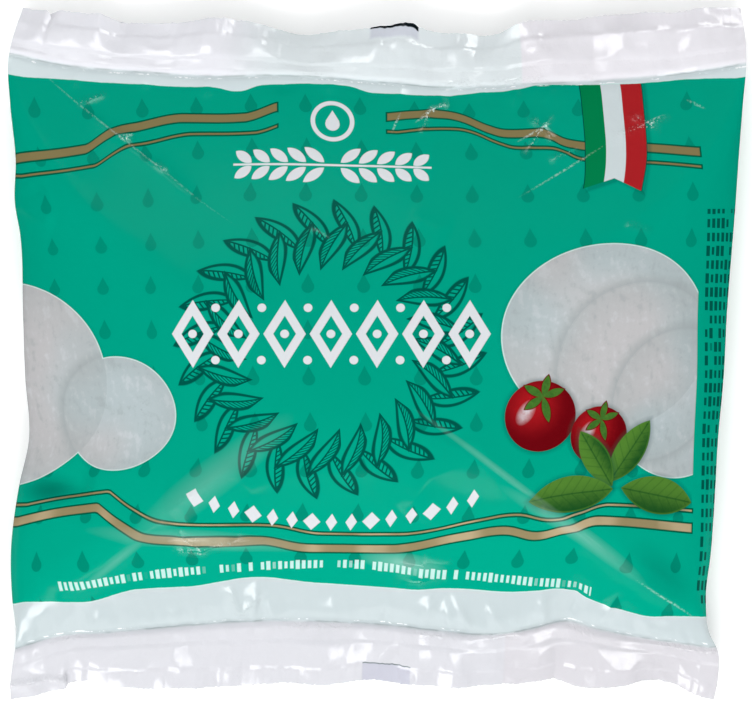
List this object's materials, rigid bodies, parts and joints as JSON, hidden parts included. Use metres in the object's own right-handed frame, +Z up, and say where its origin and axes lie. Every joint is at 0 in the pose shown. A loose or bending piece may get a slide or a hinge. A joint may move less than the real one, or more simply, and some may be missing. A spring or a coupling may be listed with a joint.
{
  "type": "cheese pack",
  "caption": "Sealed film pack of fresh cheese in liquid: a low pillow with a fin seal at each end and a flap down its back, lying flat.",
  "frame": {"origin": "under the middle of the pack's box, on the surface that the pack lies on", "axes": "+Z up out of the shown side, +Y towards the end with the ribbon, +X to the right of the shown side"},
  "size_m": [0.1396, 0.1314, 0.0319],
  "materials": {
    "film": "gloss printed film, teal green with white ends"
  },
  "bodies": {
    "root": {"pack": "film"}
  },
  "joints": []
}
